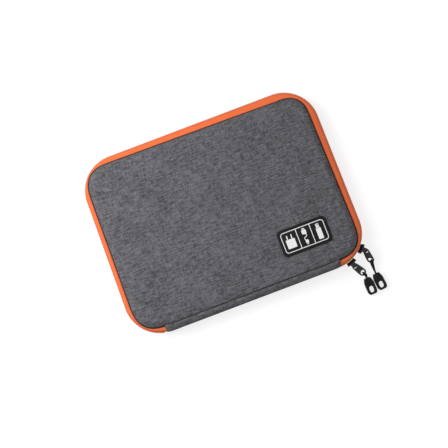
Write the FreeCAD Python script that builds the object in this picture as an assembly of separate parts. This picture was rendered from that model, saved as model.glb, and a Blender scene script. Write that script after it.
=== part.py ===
import FreeCAD, Part

import math
import os

from FreeCAD import Vector

# Cable organizer pouch: two padded shells that close face to face on a zip and fold open
# on a flat fabric spine.  Millimetres.  X along the long side, Y across, Z up.  The origin
# is the centre of the flat lower face; the spine is on the -Y side.

# overall
length = 245.0
width = 184.0
thickness = 26.0
corner_radius = 36.0
face_flat_inset = 14.0      # perimeter to the flat part of a face
seam_inset = 7.5            # perimeter to the seam of face fabric and zip tape
seam_rise = 4.5             # height of that seam above the face
# bulge of the outer surface between those lines, each point as two shares
face_shoulder = (0.35, 0.33)    # of the way from seam to flat face, of the seam's rise
tape_bulge = ((0.43, 0.32), (0.13, 0.67), (0.05, 1.0))    # of the seam's inset, of the rise to the middle
spine_bulge = ((1.0, 0.22), (0.33, 0.55))    # of the seam's inset, of the seam's rise

# layers of one shell, outside to inside
fabric_thickness = 0.9
foam_thickness = 3.0
lining_thickness = 0.7

# zip
half_gap = 0.15             # each half stands this far from the middle plane
coil_width = 2.4
coil_height = 1.3
binding_width = 3.0
binding_height = 1.0
stop_length = 4.0

# spine
spine_end_gap = 0.5         # to the ends of the zip on both sides
fold_clearance = 0.35       # between the spine strip and the shells it folds on
spine_board_thickness = 1.2

# zip sliders, on the corner nearest the ends of the zip
slider_gap = 0.3
slider_height = 7.8
slider_thickness = 3.4
slider_top_thickness = 0.6
slider_sweep = 14.0         # degrees of the corner that one slider covers
slider_angles = {"slider_1": -44.0, "slider_2": -69.0}
ear_thickness = 0.7
ear_width = 4.4
ear_reach = 4.6
pin_radius = 0.65
pin_stand_off = 2.9         # slider face to pin axis

# pull tabs, cords and grips
tab_thickness = 1.3
tab_width = 7.4
tab_hole_spacing = 10.6
tab_eye_radius = 2.2
tab_eye_wall = 1.0
tab_cord_hole_radius = 2.3
tab_pitch = 28.0            # degrees that the tab hangs down
tab_slack = 0.8             # eye to pin, along the tab
tab_lift = 0.6              # of the eye above the middle of the pin
tab_places = {"pull_1": (-79.0, 40.0), "pull_2": (-56.0, 0.0)}    # heading, roll
cord_diameter = 1.8
grip_length = 17.0
grip_width = 9.6
grip_neck_width = 6.4
grip_end_width = 6.72
grip_shoulder = 5.1         # mouth to the full width
grip_taper = 2.55           # length of the narrowing end
grip_thickness = 5.0
grip_pitch = 8.0
grip_mouth_height = 5.1
grip_places = {    # distance and bearing of the mouth from the slider's pin, then heading
    "pull_1": (24.306, -84.908, -83.0),
    "pull_2": (17.037, -62.636, -87.0),
}
grip_slot_length = 7.0
grip_slot_width = 4.2
socket_depth = 7.5
socket_offset = 1.05
socket_gap = 0.1
socket_slot_wall = 1.0

# rubber patch on the lid
patch_length = 50.0
patch_width = 26.5
patch_thickness = 1.2
patch_corner = 4.5
patch_end_inset = 32.0       # patch edge to the perimeter, at its end
patch_spine_inset = 26.55    # and at the spine
print_thickness = 0.12
print_line = 0.7
print_margin = 3.0
print_cells = (0.0, 0.36, 0.68, 1.0)
symbol_height = 16.0

# inner fittings of the base
fitting_thickness = 1.2
fitting_end_inset = 24.5     # bands and slip pocket to the perimeter, at their ends
band_width = 24.0
band_inset = 24.0            # back band to the perimeter
band_gap = 14.0
band_names = ("elastic_band_back", "elastic_band_middle")
slip_pocket_length = 128.0
slip_pocket_width = 58.0
slip_pocket_inset = 22.0     # to the perimeter on the spine side
card_pocket_length = 29.0
card_pocket_width = 30.0
card_pocket_gap = 4.0
card_pocket_inset = 36.0     # to the perimeter on the spine side
card_pocket_count = 2
hem_width = 6.0
hem_thickness = 0.5

# zipped mesh pocket of the lid
pocket_end_inset = 22.5      # pocket to the perimeter, at its ends
pocket_back_inset = 28.0
pocket_spine_inset = 20.0
pocket_sheet = 0.8
pocket_tape_width = 20.0
pocket_coil_width = 4.0
pocket_coil_height = 1.0
pocket_edge_width = 6.0
pocket_edge_thickness = 0.5
pocket_coil_margin = 1.4     # coil's end to the edge tape
pocket_slider_length = 11.0
pocket_slider_width = 8.0
pocket_slider_height = 1.4
pocket_slider_inset = 16.0   # slider's middle to the pocket's end
pocket_pull_length = 9.6
pocket_pull_width = 5.0
pocket_pull_thickness = 1.0
pocket_ear_thickness = 0.8
pocket_pin_radius = 0.45
pocket_knuckle_radius = 0.95
running_gap = 0.1

# worked out
half_length = length / 2
half_width = width / 2
middle = thickness / 2
rim = middle - half_gap
coil_bottom = rim - coil_height
wall_layers = fabric_thickness + foam_thickness + lining_thickness
arc_x = half_length - corner_radius
arc_y = half_width - corner_radius
spine_length = 2 * arc_x - 2 * spine_end_gap
cord_radius = cord_diameter / 2
slider_face = corner_radius + slider_gap + slider_thickness
pin_reach = slider_face + pin_stand_off
patch_centre = (
    half_length - patch_end_inset - patch_length / 2,
    -half_width + patch_spine_inset + patch_width / 2,
)
pocket_length = length - 2 * pocket_end_inset
pocket_width = width - pocket_back_inset - pocket_spine_inset
pocket_centre_y = (pocket_spine_inset - pocket_back_inset) / 2
pocket_slider_start = -pocket_length / 2 + pocket_slider_inset


def export(node, *solids):
    shape = solids[0] if len(solids) == 1 else Part.makeCompound(list(solids))
    shape.exportStep(f"parts/{node}.step")


def polygon(points):
    return Part.Face(Part.makePolygon([*points, points[0]]))


def joined(solids):
    return solids[0].multiFuse(solids[1:]).removeSplitter()


# ---- the two shells ---------------------------------------------------------------------

def inset_line(points, distance):
    """The same open polyline, moved inwards: to larger insets and greater heights."""
    moved = []
    for (d0, z0), (d1, z1) in zip(points, points[1:]):
        run = math.hypot(d1 - d0, z1 - z0)
        normal = ((z1 - z0) / run * distance, (d0 - d1) / run * distance)
        moved.append([(d0 + normal[0], z0 + normal[1]), (d1 + normal[0], z1 + normal[1])])
    line = [moved[0][0]]
    for (a, b), (c, d) in zip(moved, moved[1:]):
        first = (b[0] - a[0], b[1] - a[1])
        second = (d[0] - c[0], d[1] - c[1])
        cross = first[0] * second[1] - first[1] * second[0]
        along = ((c[0] - a[0]) * second[1] - (c[1] - a[1]) * second[0]) / cross
        line.append((a[0] + along * first[0], a[1] + along * first[1]))
    return [*line, moved[-1][1]]


def zip_side_line():
    """Outer surface of a shell on its zip sides, as (inset from the perimeter, height)."""
    inward, up = face_shoulder
    line = [
        (corner_radius, 0.0),
        (face_flat_inset, 0.0),
        (seam_inset + inward * (face_flat_inset - seam_inset), up * seam_rise),
        (seam_inset, seam_rise),
    ]
    for inward, up in tape_bulge:
        line.append((inward * seam_inset, seam_rise + up * (middle - seam_rise)))
    return line


def spine_side_line():
    """The same on the spine side, where the shell ends at the fold."""
    bulge = [(inward * seam_inset, up * seam_rise) for inward, up in spine_bulge]
    return [(corner_radius, 0.0), (face_flat_inset, 0.0), *bulge, (0.0, seam_rise)]


def filled(line, top):
    """Face between an outer line and the level top, out to the inset of the corner centre."""
    kept = []
    for (d0, z0), (d1, z1) in zip(line, line[1:]):
        kept.append((d0, z0))
        if z1 >= top:
            kept.append((d0 + (d1 - d0) * (top - z0) / (z1 - z0), top))
            break
    else:
        kept.append(line[-1])
        kept.append((line[-1][0], top))
    kept[0] = (corner_radius, kept[0][1])
    return polygon([Vector(corner_radius - d, 0, z) for d, z in [*kept, (corner_radius, top)]])


def plug(inset, zip_top, spine_top):
    """Solid inside the outer surface moved inwards by inset, up to the two heights."""
    zip_face = filled(inset_line(zip_side_line(), inset), zip_top)
    spine_face = filled(inset_line(spine_side_line(), inset), spine_top)
    up = Vector(0, 0, 1)
    solids = []
    for x, y, start in ((arc_x, arc_y, 0), (-arc_x, arc_y, 90), (-arc_x, -arc_y, 180), (arc_x, -arc_y, 270)):
        corner = zip_face.revolve(Vector(0, 0, 0), up, 90)
        corner.rotate(Vector(0, 0, 0), up, start)
        corner.translate(Vector(x, y, 0))
        solids.append(corner)
    sides = (
        (zip_face, arc_x, -arc_y, 0, 2 * arc_y),
        (zip_face, arc_x, arc_y, 90, 2 * arc_x),
        (zip_face, -arc_x, arc_y, 180, 2 * arc_y),
        (spine_face, -arc_x, -arc_y, 270, 2 * arc_x),
    )
    for face, x, y, turn, run in sides:
        side = face.extrude(Vector(0, run, 0))
        side.rotate(Vector(0, 0, 0), up, turn)
        side.translate(Vector(x, y, 0))
        solids.append(side)
    floor = Part.makeBox(2 * arc_x, 2 * arc_y, zip_top - inset, Vector(-arc_x, -arc_y, inset))
    solids.append(floor)
    return joined(solids)


def layer(outer, inner, zip_top, spine_top):
    """One layer of a shell, between two distances from the outer surface."""
    cavity = plug(inner, zip_top + 1, zip_top + 1)
    return plug(outer, zip_top, spine_top).cut(cavity).removeSplitter()


def zip_path_ring(inner, outer, bottom, top):
    """Ring of rectangular section on the zip sides, between two insets, open at the spine."""
    def slab(inset):
        radius = corner_radius - inset
        box = Part.makeBox(length - 2 * inset, width - 2 * inset, top - bottom,
                           Vector(-half_length + inset, -half_width + inset, bottom))
        upright = [edge for edge in box.Edges if abs(edge.tangentAt(0).z) > 0.5]
        return box.makeFillet(radius, upright)
    ring = slab(outer).cut(slab(inner))
    gap = Part.makeBox(2 * arc_x, half_width, top - bottom, Vector(-arc_x, -width, bottom))
    gap.translate(Vector(0, half_width / 2, 0))
    return ring.cut(gap)


def flipped(shape):
    """The same shape in the lid: the lid is the base mirrored in the middle plane."""
    return shape.mirror(Vector(0, 0, middle), Vector(0, 0, 1))


def shell_pieces():
    """Layers and zip half of the base, as name: shape."""
    face_top = seam_rise
    outer = layer(0.0, fabric_thickness, face_top, seam_rise - fold_clearance / 2)
    whole_wall = layer(0.0, fabric_thickness, coil_bottom, seam_rise - fold_clearance / 2)
    tape = whole_wall.cut(Part.makeBox(2 * length, 2 * width, face_top, Vector(-length, -width, 0)))
    spine_cut = Part.makeBox(2 * arc_x, width, thickness, Vector(-arc_x, -width - arc_y, 0))
    tape = tape.cut(spine_cut)
    foam_end = fabric_thickness + foam_thickness
    foam = layer(fabric_thickness, foam_end, coil_bottom, wall_layers)
    lining = layer(foam_end, wall_layers, coil_bottom, wall_layers)
    coil = zip_path_ring(coil_width, 0.0, coil_bottom, rim)
    binding = zip_path_ring(coil_width + binding_width, coil_width, coil_bottom, coil_bottom + binding_height)
    return {
        "outer_fabric": outer,
        "foam": foam,
        "lining": lining,
        "tape": tape,
        "coil": coil,
        "binding": binding,
    }


def zip_stops():
    """Folded cloth ends of the zip, one at each side of the spine, under the coil."""
    stops = []
    for side in (1, -1):
        start = arc_x if side > 0 else -arc_x - stop_length
        box = Part.makeBox(stop_length, coil_width + binding_width, coil_height,
                           Vector(start, -half_width, coil_bottom))
        stops.append(box)
    return stops


pieces = shell_pieces()
stops = zip_stops()
for name in ("coil", "binding"):
    pieces[name] = pieces[name].cut(stops)

export("base_outer_fabric", pieces["outer_fabric"])
export("base_foam", pieces["foam"])
export("base_lining", pieces["lining"])
export("zip_tape_lower", pieces["tape"])
export("zip_coil_lower", pieces["coil"])
export("base_binding", pieces["binding"])
export("zip_stops_lower", *stops)
export("lid_outer_fabric", flipped(pieces["outer_fabric"]))
export("lid_foam", flipped(pieces["foam"]))
export("lid_lining", flipped(pieces["lining"]))
export("zip_tape_upper", flipped(pieces["tape"]))
export("zip_coil_upper", flipped(pieces["coil"]))
export("lid_binding", flipped(pieces["binding"]))
export("zip_stops_upper", *[flipped(stop) for stop in stops])


# ---- the spine --------------------------------------------------------------------------

def spine_strips():
    """Fabric, board and lining of the spine, outside to inside."""
    low = seam_rise + fold_clearance
    high = thickness - low
    place = -half_width
    strips = {}
    layers = (
        ("spine_fabric", fabric_thickness),
        ("spine_board", spine_board_thickness),
        ("spine_lining", lining_thickness),
    )
    for name, depth in layers:
        strips[name] = Part.makeBox(spine_length, depth, high - low, Vector(-spine_length / 2, place, low))
        place += depth
    return strips


for name, strip in spine_strips().items():
    export(name, strip)


# ---- sliders, pull tabs, cords and grips --------------------------------------------------

def slider(angle):
    """Slider body with two ears and the pin that the pull tab hangs on."""
    inner = corner_radius + slider_gap
    top = middle + slider_height / 2
    bottom = middle - slider_height / 2
    section = polygon([
        Vector(inner, 0, bottom),
        Vector(slider_face, 0, bottom),
        Vector(slider_face, 0, top),
        Vector(slider_face - slider_top_thickness, 0, top),
        Vector(inner, 0, rim),
    ])
    up = Vector(0, 0, 1)
    body = section.revolve(Vector(0, 0, 0), up, slider_sweep)
    body.rotate(Vector(0, 0, 0), up, -slider_sweep / 2)
    solids = [body]
    root = slider_face - slider_top_thickness
    for low in (bottom, top - ear_thickness):
        straight = slider_face + ear_reach - ear_width / 2 - root
        ear = Part.makeBox(straight, ear_width, ear_thickness, Vector(root, -ear_width / 2, low))
        nose = Part.makeCylinder(ear_width / 2, ear_thickness, Vector(root + straight, 0, low))
        solids.append(ear.fuse(nose))
    solids.append(Part.makeCylinder(pin_radius, slider_height, Vector(pin_reach, 0, bottom)))
    shape = joined(solids)
    shape.rotate(Vector(0, 0, 0), up, angle)
    shape.translate(Vector(arc_x, -arc_y, 0))
    return shape


def pin_point(angle):
    turn = math.radians(angle)
    return Vector(arc_x + pin_reach * math.cos(turn), -arc_y + pin_reach * math.sin(turn), middle)


eye_offset = tab_eye_radius - pin_radius - tab_slack


def placed(shape, pin, heading, roll):
    """A shape drawn along +X from the pin, rolled, hung down and turned to its heading."""
    origin = Vector(0, 0, 0)
    moved = shape.copy()
    moved.rotate(origin, Vector(1, 0, 0), roll)
    moved.rotate(origin, Vector(0, 1, 0), tab_pitch)
    moved.rotate(origin, Vector(0, 0, 1), heading)
    moved.translate(pin + Vector(0, 0, tab_lift))
    return moved


def pull_tab():
    """Flat tab with an eye for the slider's pin and a hole for the cord."""
    eye = Vector(eye_offset, 0, -tab_thickness / 2)
    hole = Vector(eye_offset + tab_hole_spacing, 0, -tab_thickness / 2)
    eye_disc = Part.makeCylinder(tab_eye_radius + tab_eye_wall, tab_thickness, eye)
    end_disc = Part.makeCylinder(tab_width / 2, tab_thickness, hole)
    flank = polygon([
        Vector(eye.x, -tab_eye_radius - tab_eye_wall, eye.z),
        Vector(hole.x - tab_width / 2, -tab_width / 2, eye.z),
        Vector(hole.x, -tab_width / 2, eye.z),
        Vector(hole.x, tab_width / 2, eye.z),
        Vector(hole.x - tab_width / 2, tab_width / 2, eye.z),
        Vector(eye.x, tab_eye_radius + tab_eye_wall, eye.z),
    ]).extrude(Vector(0, 0, tab_thickness))
    tab = joined([flank, eye_disc, end_disc])
    tab = tab.cut(Part.makeCylinder(tab_eye_radius, tab_thickness, eye))
    return tab.cut(Part.makeCylinder(tab_cord_hole_radius, tab_thickness, hole))


def grip():
    """Moulded grip along +X from its cord end, with a slot and two cord sockets."""
    half = grip_width / 2
    neck = grip_neck_width / 2
    end = grip_end_width / 2
    low = -grip_thickness / 2
    taper = grip_length - grip_taper
    outline = polygon([
        Vector(0, -neck, low),
        Vector(grip_shoulder, -half, low),
        Vector(taper, -half, low),
        Vector(grip_length, -end, low),
        Vector(grip_length, end, low),
        Vector(taper, half, low),
        Vector(grip_shoulder, half, low),
        Vector(0, neck, low),
    ])
    body = outline.extrude(Vector(0, 0, grip_thickness))
    near = socket_depth + socket_slot_wall + grip_slot_width / 2
    far = near + grip_slot_length - grip_slot_width
    slot = Part.makeBox(far - near, grip_slot_width, grip_thickness, Vector(near, -grip_slot_width / 2, low))
    for x in (near, far):
        slot = slot.fuse(Part.makeCylinder(grip_slot_width / 2, grip_thickness, Vector(x, 0, low)))
    body = body.cut(slot)
    for height in (socket_offset, -socket_offset):
        mouth = Vector(0, 0, height)
        body = body.cut(Part.makeCylinder(cord_radius + socket_gap, socket_depth, mouth, Vector(1, 0, 0)))
    return body


def grip_in_place(name, pin):
    distance, bearing, heading = grip_places[name]
    turn = math.radians(bearing)
    x = pin.x + distance * math.cos(turn)
    y = pin.y + distance * math.sin(turn)
    origin = Vector(0, 0, 0)
    shape = grip()
    shape.rotate(origin, Vector(0, 1, 0), grip_pitch)
    shape.rotate(origin, Vector(0, 0, 1), heading)
    shape.translate(Vector(x, y, grip_mouth_height))
    return shape


def tangent_path(points):
    """Straight runs joined by arcs, each as large as its two runs allow."""
    edges = []
    radii = []
    start = points[0]
    for before, corner, after in zip(points, points[1:], points[2:]):
        into = corner - before
        out = after - corner
        turn = into.getAngle(out)
        reach = 0.45 * min(into.Length, out.Length)
        radius = reach / math.tan(turn / 2)
        into.normalize()
        out.normalize()
        inward = out - into
        inward.normalize()
        first = corner - into * reach
        last = corner + out * reach
        halfway = corner + inward * (radius / math.cos(turn / 2) - radius)
        edges.append(Part.LineSegment(start, first).toShape())
        edges.append(Part.Arc(first, halfway, last).toShape())
        radii.append(radius)
        start = last
    edges.append(Part.LineSegment(start, points[-1]).toShape())
    return Part.Wire(edges), radii


def cord_tube(name, route):
    points = [Vector(*point) for point in route]
    wire, radii = tangent_path(points)
    circle = Part.Wire(Part.makeCircle(cord_diameter / 2, points[0], points[1] - points[0]))
    tube = wire.makePipeShell([circle], True, False, 2)
    ratio = tube.Volume / (math.pi * (cord_diameter / 2) ** 2 * wire.Length)
    print(name, "length", round(wire.Length, 2), "volume ratio", round(ratio, 4))
    print(name, "radii", [round(radius, 2) for radius in radii])
    return tube


# Each cord is one loop: out of the grip, through the tab's hole and back into the grip.
cord_routes = {
    "pull_1": [
        (120.23, -117.32, 5.10),
        (119.16, -108.67, 6.32),
        (118.50, -101.90, 6.90),
        (118.09, -97.51, 9.11),
        (120.45, -95.51, 6.26),
        (120.80, -99.60, 4.10),
        (119.12, -108.37, 4.24),
        (120.19, -117.02, 3.02),
    ],
    "pull_2": [
        (110.00, -118.47, 5.10),
        (109.54, -109.76, 6.32),
        (109.95, -107.60, 8.80),
        (108.54, -105.81, 9.74),
        (107.44, -104.18, 5.63),
        (109.10, -106.70, 3.60),
        (109.52, -109.46, 4.24),
        (109.98, -118.17, 3.02),
    ],
}

for name, angle in slider_angles.items():
    export(f"{name}_body", slider(angle))

for (name, (heading, roll)), angle in zip(tab_places.items(), slider_angles.values()):
    pin = pin_point(angle)
    print(name, "pin", [round(value, 3) for value in pin])
    export(f"{name}_tab", placed(pull_tab(), pin, heading, roll))
    export(f"{name}_cord", cord_tube(name, cord_routes[name]))
    export(f"{name}_grip", grip_in_place(name, pin))


# ---- the rubber patch on the lid --------------------------------------------------------

def rounded_plate(size_x, size_y, height, radius, centre, low):
    x, y = centre
    plate = Part.makeBox(size_x, size_y, height, Vector(x - size_x / 2, y - size_y / 2, low))
    upright = [edge for edge in plate.Edges if abs(edge.tangentAt(0).z) > 0.5]
    return plate.makeFillet(radius, upright)


def centred_box(size_x, size_y, height, centre, low):
    x, y = centre
    return Part.makeBox(size_x, size_y, height, Vector(x - size_x / 2, y - size_y / 2, low))


patch_top = thickness + patch_thickness
frame_length = patch_length - 2 * print_margin
frame_width = patch_width - 2 * print_margin
frame_corner = patch_corner - print_margin / 2


def cell_centre(index):
    share = (print_cells[index] + print_cells[index + 1]) / 2
    return patch_centre[0] - frame_length / 2 + share * frame_length, patch_centre[1]


def printed_frame():
    outer = rounded_plate(frame_length, frame_width, print_thickness, frame_corner, patch_centre, patch_top)
    inner = rounded_plate(frame_length - 2 * print_line, frame_width - 2 * print_line, print_thickness,
                          frame_corner - print_line, patch_centre, patch_top)
    frame = outer.cut(inner)
    for share in print_cells[1:-1]:
        x = patch_centre[0] - frame_length / 2 + share * frame_length
        frame = frame.fuse(centred_box(print_line, frame_width - print_line, print_thickness,
                                       (x, patch_centre[1]), patch_top))
    return frame.removeSplitter()


def charger_symbol(x, y):
    """A charger block with two prongs."""
    size = 0.56 * symbol_height
    low = y - 0.13 * symbol_height
    solids = [rounded_plate(size, size, print_thickness, print_line, (x, low), patch_top)]
    for side in (-1, 1):
        solids.append(centred_box(1.6 * print_line, 0.24 * symbol_height, print_thickness,
                                  (x + side * 0.25 * size, low + 0.42 * symbol_height), patch_top))
    return solids


def cable_symbol(x, y):
    """Two plugs and the wavy lead between them."""
    radius = 0.0925 * symbol_height
    upper = rounded_plate(0.28 * symbol_height, 0.26 * symbol_height, print_thickness,
                          print_line, (x, y + 0.265 * symbol_height), patch_top)
    lower = rounded_plate(0.18 * symbol_height, 0.20 * symbol_height, print_thickness,
                          print_line, (x, y - 0.325 * symbol_height), patch_top)
    body = upper.fuse(lower)
    for side in (-1, 1):
        middle = Vector(x, y + (side * 0.0925 - 0.045) * symbol_height, patch_top)
        bend = Part.makeCylinder(radius + print_line / 2, print_thickness, middle)
        bend = bend.cut(Part.makeCylinder(radius - print_line / 2, print_thickness, middle))
        half = centred_box(2 * radius, 4 * radius, print_thickness,
                           (x + side * radius, middle.y), patch_top)
        body = body.fuse(bend.common(half))
    solids = [body.removeSplitter()]
    for wide, high, place in ((0.17, 0.08, 0.455), (0.10, 0.06, -0.475)):
        solids.append(centred_box(wide * symbol_height, high * symbol_height, print_thickness,
                                  (x, y + place * symbol_height), patch_top))
    return solids


def stick_symbol(x, y):
    """A memory stick, its plug end with two windows."""
    body = rounded_plate(0.30 * symbol_height, 0.70 * symbol_height, print_thickness,
                         print_line, (x, y - 0.14 * symbol_height), patch_top)
    end = centred_box(0.20 * symbol_height, 0.24 * symbol_height, print_thickness,
                      (x, y + 0.35 * symbol_height), patch_top)
    for side in (-1, 1):
        end = end.cut(centred_box(0.045 * symbol_height, 0.06 * symbol_height, print_thickness,
                                  (x + side * 0.045 * symbol_height, y + 0.39 * symbol_height), patch_top))
    return [body, end]


symbols = [charger_symbol, cable_symbol, stick_symbol]
symbol_solids = []
for index, symbol in enumerate(symbols):
    symbol_solids += symbol(*cell_centre(index))

export("patch_base", rounded_plate(patch_length, patch_width, patch_thickness, patch_corner,
                                   patch_centre, thickness))
export("patch_frame", printed_frame())
export("patch_symbols", *symbol_solids)


# ---- fittings inside the base -----------------------------------------------------------

floor_top = wall_layers
band_length = length - 2 * fitting_end_inset
for index, name in enumerate(band_names):
    y = half_width - band_inset - band_width / 2 - index * (band_width + band_gap)
    export(name, centred_box(band_length, band_width, fitting_thickness, (0, y), floor_top))

fitting_top = floor_top + fitting_thickness
slip_x = -half_length + fitting_end_inset + slip_pocket_length / 2
slip_y = -half_width + slip_pocket_inset + slip_pocket_width / 2
export("slip_pocket", centred_box(slip_pocket_length, slip_pocket_width, fitting_thickness,
                                  (slip_x, slip_y), floor_top))
export("slip_pocket_hem", centred_box(slip_pocket_length, hem_width, hem_thickness,
                                      (slip_x, slip_y + (slip_pocket_width - hem_width) / 2), fitting_top))

card_y = -half_width + card_pocket_inset + card_pocket_width / 2
cards = []
card_hems = []
for index in range(card_pocket_count):
    x = half_length - fitting_end_inset - card_pocket_length / 2
    x -= index * (card_pocket_length + card_pocket_gap)
    cards.append(centred_box(card_pocket_length, card_pocket_width, fitting_thickness,
                             (x, card_y), floor_top))
    card_hems.append(centred_box(card_pocket_length, hem_width, hem_thickness,
                                 (x, card_y + (card_pocket_width - hem_width) / 2), fitting_top))
export("card_pockets", *cards)
export("card_pocket_hems", *card_hems)


# ---- zipped mesh pocket inside the lid --------------------------------------------------

lid_ceiling = thickness - wall_layers
sheet_low = lid_ceiling - pocket_sheet
pocket_top_y = pocket_centre_y + pocket_width / 2
pocket_low_y = pocket_centre_y - pocket_width / 2
tape_low_y = pocket_top_y - pocket_tape_width
pocket_zip_y = pocket_top_y - pocket_tape_width / 2
coil_low = sheet_low - pocket_coil_height
coil_end = pocket_length / 2 - pocket_edge_width - pocket_coil_margin
mesh = centred_box(pocket_length, tape_low_y - pocket_low_y, pocket_sheet,
                   (0, (tape_low_y + pocket_low_y) / 2), sheet_low)
edge_outer = centred_box(pocket_length, pocket_width, pocket_edge_thickness,
                         (0, pocket_centre_y), sheet_low - pocket_edge_thickness)
edge_inner = centred_box(pocket_length - 2 * pocket_edge_width, pocket_width - 2 * pocket_edge_width,
                         pocket_edge_thickness, (0, pocket_centre_y), sheet_low - pocket_edge_thickness)
export("pocket_mesh", mesh)
export("pocket_edge", edge_outer.cut(edge_inner))
export("pocket_zip_tape", centred_box(pocket_length, pocket_tape_width, pocket_sheet,
                                      (0, pocket_zip_y), sheet_low))
export("pocket_zip_coil", centred_box(2 * coil_end, pocket_coil_width, pocket_coil_height,
                                      (0, pocket_zip_y), coil_low))

plate_low = coil_low - running_gap - pocket_slider_height
pivot_height = plate_low - pocket_knuckle_radius - 2 * running_gap


def pocket_slider():
    """Channel-shaped slider under the pocket's coil, with two ears and a pin."""
    x = pocket_slider_start
    solids = [centred_box(pocket_slider_length, pocket_slider_width, pocket_slider_height,
                          (x, pocket_zip_y), plate_low)]
    cheek = (pocket_slider_width - pocket_coil_width) / 2 - running_gap
    rise = coil_low + 0.7 * pocket_coil_height - plate_low
    for side in (-1, 1):
        y = pocket_zip_y + side * (pocket_slider_width - cheek) / 2
        solids.append(centred_box(pocket_slider_length, cheek, rise, (x, y), plate_low))
        ear_y = pocket_zip_y + side * (pocket_pull_width / 2 + running_gap + pocket_ear_thickness / 2)
        drop = plate_low - pivot_height + pocket_knuckle_radius
        solids.append(centred_box(2 * pocket_knuckle_radius, pocket_ear_thickness, drop,
                                  (x, ear_y), plate_low - drop))
    span = pocket_pull_width + 2 * running_gap + 2 * pocket_ear_thickness
    solids.append(Part.makeCylinder(pocket_pin_radius, span, Vector(x, pocket_zip_y - span / 2, pivot_height),
                                    Vector(0, 1, 0)))
    return joined(solids)


def pocket_pull():
    """Small flat pull hanging on the pocket slider's pin."""
    x = pocket_slider_start
    y = pocket_zip_y - pocket_pull_width / 2
    along = Vector(0, 1, 0)
    pivot = Vector(x, y, pivot_height)
    plate = Part.makeBox(pocket_pull_length, pocket_pull_width, pocket_pull_thickness,
                         Vector(x - pocket_pull_length, y, pivot_height - pocket_pull_thickness / 2))
    knuckle = Part.makeCylinder(pocket_knuckle_radius, pocket_pull_width, pivot, along)
    bore = Part.makeCylinder(pocket_pin_radius + running_gap, pocket_pull_width, pivot, along)
    return joined([plate, knuckle]).cut(bore)


export("pocket_slider", pocket_slider())
export("pocket_pull", pocket_pull())
print("pocket pivot", pocket_slider_start, pocket_zip_y, round(pivot_height, 3))
print("pocket travel", -2 * pocket_slider_start)
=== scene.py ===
import math

import bmesh
import bpy
from mathutils import Matrix, Vector, noise


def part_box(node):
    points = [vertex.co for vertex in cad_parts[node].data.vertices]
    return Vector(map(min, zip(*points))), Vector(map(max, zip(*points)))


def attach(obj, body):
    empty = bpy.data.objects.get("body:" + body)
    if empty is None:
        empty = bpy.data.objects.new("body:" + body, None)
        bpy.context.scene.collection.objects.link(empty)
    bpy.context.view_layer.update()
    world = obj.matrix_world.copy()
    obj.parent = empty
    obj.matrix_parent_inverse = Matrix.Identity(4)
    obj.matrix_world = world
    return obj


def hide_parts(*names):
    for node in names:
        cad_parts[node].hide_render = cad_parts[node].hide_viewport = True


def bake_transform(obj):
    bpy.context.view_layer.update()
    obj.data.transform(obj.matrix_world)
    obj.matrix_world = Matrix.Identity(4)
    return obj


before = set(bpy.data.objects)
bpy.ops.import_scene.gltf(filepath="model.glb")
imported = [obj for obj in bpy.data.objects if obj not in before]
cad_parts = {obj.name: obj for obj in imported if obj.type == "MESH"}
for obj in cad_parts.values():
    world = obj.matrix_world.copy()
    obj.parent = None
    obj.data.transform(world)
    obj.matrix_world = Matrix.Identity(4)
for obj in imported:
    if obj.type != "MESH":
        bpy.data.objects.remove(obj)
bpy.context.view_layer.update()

# Pieces are shaped in millimetres and scaled to metres when they are finished.
metres = Matrix.Scale(0.001, 4)


def nodeBox(name):
    low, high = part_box(name)
    return low * 1000, high * 1000


def inMetres(place):
    return [value * 0.001 for value in place]


def addObject(name, data):
    thing = bpy.data.objects.new(name, data)
    bpy.context.scene.collection.objects.link(thing)
    return thing


def meshFrom(shape, name):
    # the shape as a mesh, after which the shape is let go
    mesh = bpy.data.meshes.new(name)
    shape.to_mesh(mesh)
    shape.free()
    return mesh


_, coilHigh = nodeBox("zip_coil_lower")
_, lidHigh = nodeBox("lid_outer_fabric")
pouch = {
    "halfLength": coilHigh.x,
    "halfWidth": coilHigh.y,
    "height": lidHigh.z,
    "corner": 36.0,         # radius of the outline's corners
    "zipStart": 1.0,        # along the outline, from the right end of the spine
    "zipEndShort": 3.0,     # the zip ends this far before the left end of the spine
}


def operators(operation):
    # an operator and its reflected form
    return (lambda wire, other: wire.joined(operation, wire, other),
            lambda wire, other: wire.joined(operation, other, wire))


class Wire:
    # a node's output; arithmetic on it adds Math nodes
    def __init__(self, tree, socket):
        self.tree = tree
        self.socket = socket

    def joined(self, operation, first, second=0.0):
        node = self.tree.nodes.new("ShaderNodeMath")
        node.operation = operation
        for place, value in enumerate((first, second)):
            if isinstance(value, Wire):
                self.tree.links.new(value.socket, node.inputs[place])
            else:
                node.inputs[place].default_value = value
        return Wire(self.tree, node.outputs[0])

    __add__, __radd__ = operators("ADD")
    __sub__, __rsub__ = operators("SUBTRACT")
    __mul__, __rmul__ = operators("MULTIPLY")
    __truediv__, __rtruediv__ = operators("DIVIDE")
    __mod__, __rmod__ = operators("FLOORED_MODULO")

    def floor(self):
        return self.joined("FLOOR", self)

    def fraction(self):
        return self.joined("FRACT", self)

    def sine(self):
        return self.joined("SINE", self)

    def root(self):
        return self.joined("SQRT", self)


toneSpan = (0.3, 0.7)       # where most values of a cloud lie


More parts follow.
